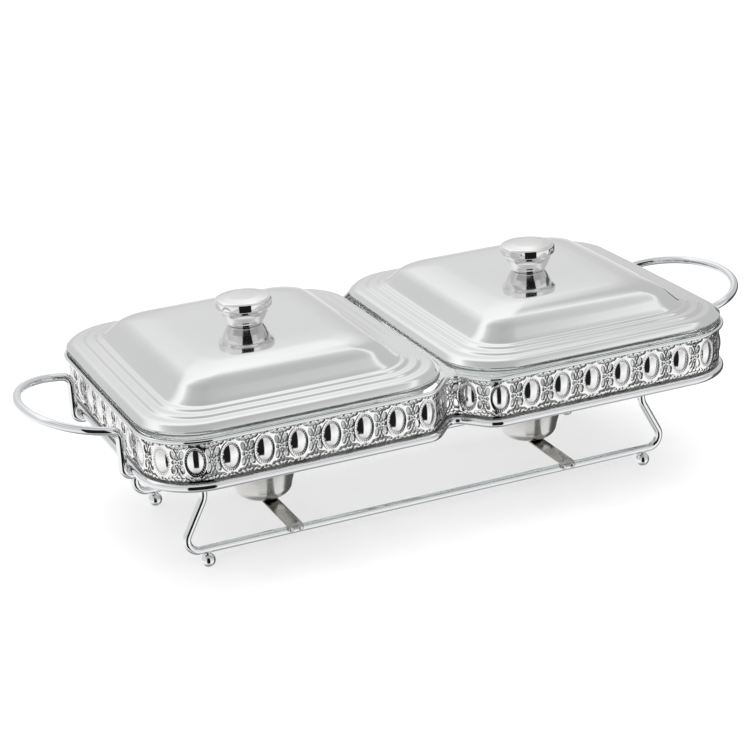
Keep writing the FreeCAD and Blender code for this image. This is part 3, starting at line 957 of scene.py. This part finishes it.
def strap_shape():
    """Flat bar over both leg wires, ends curled down round them, edges eased."""
    middle = WIRE_R + WELD_GAP + STRAP_THICK / 2
    curl = arc((POST_Y, LEG_Z), middle, 90 - STRAP_CURL_ANGLE, 90, step=7.5)
    flat = [(share * POST_Y, LEG_Z + middle) for share in np.linspace(0.9, -0.9, 7)]
    half = np.vstack([curl, flat, (curl * [-1, 1])[::-1]])
    path = np.column_stack([np.full(len(half), CUP_X), half[:, 0], half[:, 1]])
    wide = STRAP_WIDTH / 2
    thin = STRAP_THICK / 2
    corners = [(wide, -thin), (wide, thin), (-wide, thin), (-wide, -thin)]
    outline = soften(corners, STRAP_SOFTENING, closed=True)

    def section(index, count):
        return outline * (STRAP_END_SCALE if index in (0, count - 1) else 1.0)

    return sweep(path, section, start_normal=(0, 0, 1))


def cup_shape():
    """Spun cup, open at the top, with a rounded foot and a turned-out lip."""
    top = CUP_BASE_Z + CUP_HEIGHT
    hole = RIVET_R + CLEARANCE
    foot_r = CUP_BASE_R - CUP_EDGE_R
    outside = arc((foot_r, CUP_BASE_Z + CUP_EDGE_R), CUP_EDGE_R, -90, 0, step=9.0)
    inside = arc((foot_r, CUP_BASE_Z + CUP_EDGE_R), CUP_EDGE_R - CUP_WALL, -90, 0, step=9.0)
    lip = [
        (CUP_RIM_R, top - CUP_LIP),
        (CUP_RIM_R + CUP_LIP, top - CUP_WALL),
        (CUP_RIM_R + CUP_LIP, top),
        (CUP_RIM_R - CUP_WALL / 2, top),
        (CUP_RIM_R - CUP_WALL, top - CUP_LIP),
    ]
    floor = CUP_BASE_Z + CUP_WALL
    lip = soften(lip, CUP_LIP_SOFTENING)
    profile = np.vstack([[(hole, CUP_BASE_Z)], outside, lip, inside[::-1], [(hole, floor)]])
    return lathe(profile, CUP_X, wrap=True)


def rivet_head(face, away):
    """Half outline of a crowned head, from its top to its shank; away is 1 upwards, -1 downwards."""
    return [
        (0, face + away * RIVET_HEAD_H),
        (RIVET_HEAD_R * RIVET_CROWN, face + away * RIVET_HEAD_H),
        (RIVET_HEAD_R, face + away * RIVET_EDGE),
        (RIVET_HEAD_R, face),
        (RIVET_R, face),
    ]


def rivet_shape():
    """Rivet through strap and cup floor, with a crowned head at each end."""
    low = rivet_head(CUP_BASE_Z - STRAP_THICK, -1)
    high = rivet_head(CUP_BASE_Z + CUP_WALL, 1)[::-1]
    return lathe(soften(low + high, RIVET_SOFTENING), CUP_X, segments=40)


def make_cups():
    for side, flip in (("right", False), ("left", True)):
        shapes = [strap_shape(), cup_shape(), rivet_shape()]
        if flip:
            shapes = [mirrored(shape, 0) for shape in shapes]
        strap, cup, rivet = shapes
        new_piece(side + "_strap_bar", strap, STRAP, "rack", [side + "_cup_strap"])
        new_piece(side + "_cup_bowl", cup, CUP, "rack", [side + "_candle_cup"])
        new_piece(side + "_rivet_domed", rivet, FASTENER, "rack", [side + "_cup_rivet"])


# ---- dishes and lids -----------------------------------------------------------------------------

# the floor closes on this half width, and stands this far up inside the dish's foot
DISH_CENTRE = 3.0
DISH_FOOT_RISE = 1.2
# how far the flange's edge is drawn in, at its lower and its upper corner
FLANGE_LOW_INSET = 2.0
FLANGE_HIGH_INSET = 1.0

# dish skin as (half width, corner radius, height): under the floor, up outside, down inside
DISH_SECTION = (
    (DISH_CENTRE, DISH_CENTRE, DISH_BOTTOM_Z + DISH_FOOT_RISE),
    (78.0, 24.0, DISH_BOTTOM_Z + DISH_FOOT_RISE),
    (80.0, 25.0, DISH_BOTTOM_Z),
    (90.0, 29.0, DISH_BOTTOM_Z),
    (101.0, 34.0, DISH_SEAT_Z),
    (DISH_FLANGE_HALF - FLANGE_LOW_INSET, 38.5, DISH_SEAT_Z),
    (DISH_FLANGE_HALF - FLANGE_HIGH_INSET, 39.5, DISH_SEAT_Z + DISH_FLANGE_THICK),
    (98.2, 30.6, DISH_SEAT_Z + DISH_FLANGE_THICK),
    (87.6, 25.4, DISH_BOTTOM_Z + DISH_FLOOR),
    (DISH_CENTRE, DISH_CENTRE, DISH_BOTTOM_Z + DISH_FLOOR),
)
# how far each of those corners is rounded
DISH_CUTS = (0, 0.8, 0.8, 6.0, 1.6, 1.3, 1.3, 1.2, 5.0, 0)

LID_SOFTENING = 4.0
LID_EDGE_SOFTENING = 0.45

# lid skin as (inset from the edge, height above the seat)
LID_SECTION = (
    (1.8, 0.0),
    (0.0, 2.2),
    (3.4, 5.3),
    (6.0, 6.1),
    (11.6, 6.3),
    (13.6, 7.6),
    (19.0, 7.8),
    (21.0, 9.1),
    (24.5, 9.4),
    (27.0, 11.4),
    (34.0, 18.2),
    (40.0, 21.7),
    (48.0, 24.3),
    (58.0, 26.1),
    (70.0, 26.55),
    (84.0, LID_HEIGHT),
    (LID_HALF - SCREW_R - CLEARANCE, LID_HEIGHT),
)


def soften_each(points, cuts):
    """Rounds every corner by its own cut."""
    points = np.asarray(points, float)
    parts = [points[:1]]
    for index in range(1, len(points) - 1):
        parts.append(soften(points[index - 1 : index + 2], cuts[index], steps=5)[1:-1])
    parts.append(points[-1:])
    return np.vstack(parts)


def dish_shape():
    rings = []
    for half, corner, z in soften_each(DISH_SECTION, DISH_CUTS):
        rings.append(unit_ring(half, corner, z))
    return loft(rings)


def lid_rings(section):
    rings = []
    for inset, z in section:
        half = LID_HALF - inset
        corner = LID_CORNER - min(inset, LID_CORNER_SHRINK_REACH) * LID_CORNER_SHRINK
        rings.append(unit_ring(half, corner, LID_SEAT_Z + z))
    return rings


def lid_shape():
    """Drawn sheet with both skins, open at the screw hole."""
    cuts = [0, LID_EDGE_SOFTENING] + [LID_SOFTENING] * (len(LID_SECTION) - 2)
    outer = soften_each(LID_SECTION, cuts)
    ahead = np.gradient(outer, axis=0)
    ahead /= np.linalg.norm(ahead, axis=1)[:, None]
    inner = outer + LID_SHEET * np.column_stack([ahead[:, 1], -ahead[:, 0]])
    inner[:, 1] = np.maximum(inner[:, 1], 0.0)
    inner[-1] = outer[-1] - [0, LID_SHEET]
    return loft(lid_rings(outer) + lid_rings(inner)[::-1], wrap=True)


NECK_SECTION = ((11.4, 0.0), (12.4, 0.8), (14.6, 4.6), (16.2, 8.2), (17.1, 11.0))
CAP_SECTION = (
    (17.4, 0.0),
    (18.9, 1.9),
    (19.6, 2.2),
    (19.8, 2.9),
    (19.8, 7.2),
    (19.3, 8.1),
    (17.6, 8.7),
    (11.0, 9.7),
    (0.0, 10.2),
)
CAP_Z = LID_TOP_Z + NECK_SECTION[-1][1]
SCREW_INTO_CAP = 5.0
NECK_SOFTENING = 0.3
CAP_SOFTENING = 0.7

# the screw's head and drive socket below the washer, and its blunt point
SCREW_SOCKET_R = 0.9
SCREW_SOCKET_FLOOR = 1.6
SCREW_HEAD_FLAT_R = 2.7
SCREW_HEAD_SIDE = 1.0
SCREW_POINT = 1.0
SCREW_SOFTENING = 0.3
WASHER_SOFTENING = 0.2


def neck_shape():
    hole = SCREW_R + CLEARANCE
    outline = [(hole, 0.0), *NECK_SECTION, (hole, NECK_SECTION[-1][1])]
    profile = soften(outline, NECK_SOFTENING, closed=True, steps=5) + [0, LID_TOP_Z]
    return lathe(profile, UNIT_X, wrap=True)


def cap_shape():
    hole = SCREW_R + CLEARANCE
    depth = SCREW_INTO_CAP + SCREW_TIP_ROOM
    outline = [(0, depth), (hole, depth), (hole, 0.0), *CAP_SECTION]
    return lathe(soften(outline, CAP_SOFTENING, steps=5) + [0, CAP_Z], UNIT_X)


def screw_shape():
    under = LID_TOP_Z - LID_SHEET - WASHER_THICK
    tip = CAP_Z + SCREW_INTO_CAP
    outline = [
        (0, under - SCREW_SOCKET_FLOOR),
        (SCREW_SOCKET_R, under - SCREW_SOCKET_FLOOR),
        (SCREW_SOCKET_R, under - SCREW_HEAD_H),
        (SCREW_HEAD_FLAT_R, under - SCREW_HEAD_H),
        (SCREW_HEAD_R, under - SCREW_HEAD_SIDE),
        (SCREW_HEAD_R, under),
        (SCREW_R, under),
        (SCREW_R, tip - SCREW_POINT),
        (SCREW_R - SCREW_POINT, tip),
        (0, tip),
    ]
    return lathe(soften(outline, SCREW_SOFTENING), UNIT_X, segments=40)


def washer_shape():
    top = LID_TOP_Z - LID_SHEET
    hole = SCREW_R + CLEARANCE
    low = top - WASHER_THICK
    outline = [(hole, low), (WASHER_R, low), (WASHER_R, top), (hole, top)]
    return lathe(soften(outline, WASHER_SOFTENING, closed=True), UNIT_X, segments=48, wrap=True)


def make_servers():
    parts = (
        ("_dish_pressed", dish_shape, GLASS, "_dish_body", "_dish", "dish_glass"),
        ("_lid_drawn", lid_shape, LID, "_lid", "_lid_shell", "lid_steel"),
        ("_neck_turned", neck_shape, KNOB, "_lid", "_knob_neck", "knob_chrome"),
        ("_cap_turned", cap_shape, KNOB, "_lid", "_knob_cap", "knob_chrome"),
        ("_screw_pan", screw_shape, FASTENER, "_lid", "_knob_screw", "fastener_steel"),
        ("_washer_flat", washer_shape, FASTENER, "_lid", "_knob_washer", "fastener_steel"),
    )
    for ending, build, material, body, node, slot in parts:
        shape = build()
        for side, placed in (("right", shape), ("left", mirrored(shape, 0))):
            nodes = [side + node]
            new_piece(side + ending, placed, material, side + body, nodes, SERVER_SHARP_EDGE)


# ---- studio ---------------------------------------------------------------------------------------

CAMERA_AZIMUTH = -22.48
CAMERA_ELEVATION = 20.55
CAMERA_ROLL = -3.32
CAMERA_DISTANCE = 1399.4
CAMERA_LENS = 100.20
CAMERA_AIM = (-53.93, -93.1, 127.7)
CAMERA_SENSOR = 36.0

# the camera's reach and the floor's half width, in metres
CAMERA_REACH = 100.0
FLOOR_HALF = 40.0

FLOOR_GLOW = 0.72
FLOOR_GLOW_GREYS = (0.93, 0.91)
FLOOR_PAPER_GREYS = (0.38, 0.36)


def make_camera():
    data = bpy.data.cameras.new("camera")
    data.lens = CAMERA_LENS
    data.sensor_width = CAMERA_SENSOR
    data.clip_end = CAMERA_REACH
    camera = bpy.data.objects.new("camera", data)
    bpy.context.scene.collection.objects.link(camera)
    azimuth = math.radians(CAMERA_AZIMUTH)
    elevation = math.radians(CAMERA_ELEVATION)
    level = math.cos(elevation)
    forward = Vector((-math.sin(azimuth) * level, math.cos(azimuth) * level, -math.sin(elevation)))
    right = forward.cross(Vector((0, 0, 1))).normalized()
    up = right.cross(forward)
    roll = math.radians(CAMERA_ROLL)
    right, up = right * math.cos(roll) + up * math.sin(roll), up * math.cos(roll) - right * math.sin(roll)
    matrix = Matrix((right, up, -forward)).transposed().to_4x4()
    matrix.translation = (Vector(CAMERA_AIM) - forward * CAMERA_DISTANCE) * MM
    camera.matrix_world = matrix
    bpy.context.scene.camera = camera


def make_floor():
    """Wide pale light table, left out of sharp reflections, which see the studio round the object."""
    material, tree, shader = start_material("floor_paper")
    grain = noise(tree, scale=30.0, detail=3.0)
    for greys, socket in ((FLOOR_GLOW_GREYS, "Emission Color"), (FLOOR_PAPER_GREYS, "Base Color")):
        light, dark = [(grey, grey, grey) for grey in greys]
        tint = blend_colours(tree, remap(tree, grain, 0.0, 1.0), light, dark)
        tree.links.new(tint, shader.inputs[socket])
    shader.inputs["Emission Strength"].default_value = FLOOR_GLOW
    shader.inputs["Roughness"].default_value = 0.9
    shader.inputs["Specular IOR Level"].default_value = 0.1
    mesh = bpy.data.meshes.new("floor")
    corners = [(x * FLOOR_HALF, y * FLOOR_HALF, 0) for x, y in ((-1, -1), (1, -1), (1, 1), (-1, 1))]
    mesh.from_pydata(corners, [], [(0, 1, 2, 3)])
    mesh.materials.append(material)
    floor = bpy.data.objects.new("floor", mesh)
    bpy.context.scene.collection.objects.link(floor)
    floor.visible_glossy = False


def make_light(name, place, aim, size, power):
    data = bpy.data.lights.new(name, "AREA")
    data.shape = "RECTANGLE"
    data.size, data.size_y = size
    data.energy = power
    lamp = bpy.data.objects.new(name, data)
    lamp.location = place
    direction = Vector(aim) - Vector(place)
    lamp.rotation_euler = direction.to_track_quat("-Z", "Y").to_euler()
    lamp.visible_glossy = False
    bpy.context.scene.collection.objects.link(lamp)


def math_node(tree, operation, *values):
    node = tree.nodes.new("ShaderNodeMath")
    node.operation = operation
    for socket, value in zip(node.inputs, values):
        if isinstance(value, (int, float)):
            socket.default_value = value
        else:
            tree.links.new(value, socket)
    return node.outputs["Value"]


def window(tree, value, low, high, soft):
    """1 between low and high, fading to 0 over soft, all in degrees."""
    rising = tree.nodes.new("ShaderNodeMapRange")
    rising.inputs["From Min"].default_value = low - soft / 2
    rising.inputs["From Max"].default_value = low + soft / 2
    falling = tree.nodes.new("ShaderNodeMapRange")
    falling.inputs["From Min"].default_value = high + soft / 2
    falling.inputs["From Max"].default_value = high - soft / 2
    for node in (rising, falling):
        node.interpolation_type = "SMOOTHSTEP"
        tree.links.new(value, node.inputs["Value"])
    return math_node(tree, "MULTIPLY", rising.outputs["Result"], falling.outputs["Result"])


# how bright the studio is by height above the horizon, degrees
STUDIO_LEVELS = (
    (-90, 0.26),
    (-64, 0.34),
    (-46, 0.82),
    (-22, 1.0),
    (-8, 0.85),
    (4, 0.66),
    (20, 0.80),
    (34, 1.02),
    (52, 1.10),
    (59, 0.72),
    (68, 0.57),
    (90, 0.5),
)

# darker parts of the studio, all in degrees but the last: span of azimuth, from the front
# towards the right, span of height, softness, brightness
STUDIO_WINDOWS = (
    ((74, 138), (-55, 4), 8.0, 0.1),
    ((40, 147), (8, 50), 12.0, 0.6),
    ((-175, -118), (2, 36), 22.0, 0.70),
    ((-110, 75), (27, 50), 8.0, 0.5),
    ((-39, 11), (-42, 44), 2.0, 0.012),
)


def make_studio():
    """Soft white room with a dark gap in front, by direction alone, so it is the same from every view."""
    world = bpy.data.worlds.new("studio")
    bpy.context.scene.world = world
    world.use_nodes = True
    tree = world.node_tree
    background = tree.nodes["Background"]
    place = tree.nodes.new("ShaderNodeTexCoord")
    split = tree.nodes.new("ShaderNodeSeparateXYZ")
    tree.links.new(place.outputs["Generated"], split.inputs["Vector"])
    degrees = 180 / math.pi
    height = math_node(tree, "MULTIPLY", math_node(tree, "ARCSINE", split.outputs["Z"]), degrees)
    depth = math_node(tree, "MULTIPLY", split.outputs["Y"], -1.0)
    azimuth = math_node(tree, "MULTIPLY", math_node(tree, "ARCTAN2", split.outputs["X"], depth), degrees)
    ramp = tree.nodes.new("ShaderNodeValToRGB")
    share = math_node(tree, "DIVIDE", math_node(tree, "ADD", height, 90.0), 180.0)
    tree.links.new(share, ramp.inputs["Fac"])
    elements = ramp.color_ramp.elements
    elements.remove(elements[1])
    for number, (level, brightness) in enumerate(STUDIO_LEVELS):
        position = (level + 90) / 180
        if number:
            element = elements.new(position)
        else:
            element = elements[0]
            element.position = position
        element.color = (brightness, brightness, brightness, 1)
    colour = ramp.outputs["Color"]
    for across, up, soft, brightness in STUDIO_WINDOWS:
        beside = window(tree, azimuth, *across, soft)
        above = window(tree, height, *up, soft)
        shade = math_node(tree, "MULTIPLY", beside, above)
        mix = tree.nodes.new("ShaderNodeMix")
        mix.data_type = "RGBA"
        tree.links.new(shade, mix.inputs["Factor"])
        tree.links.new(colour, mix.inputs["A"])
        mix.inputs["B"].default_value = (brightness, brightness, brightness, 1)
        colour = mix.outputs["Result"]
    tree.links.new(colour, background.inputs["Color"])
    background.inputs["Strength"].default_value = 1.0
    make_light("overhead_softbox", place=(-0.2, -0.3, 1.8), aim=(0, 0, 0), size=(3.0, 3.0), power=60.0)
    bpy.context.scene.view_settings.view_transform = "Standard"


make_rails()
make_band()
make_supports()
make_cups()
make_servers()
make_floor()
make_studio()
make_camera()
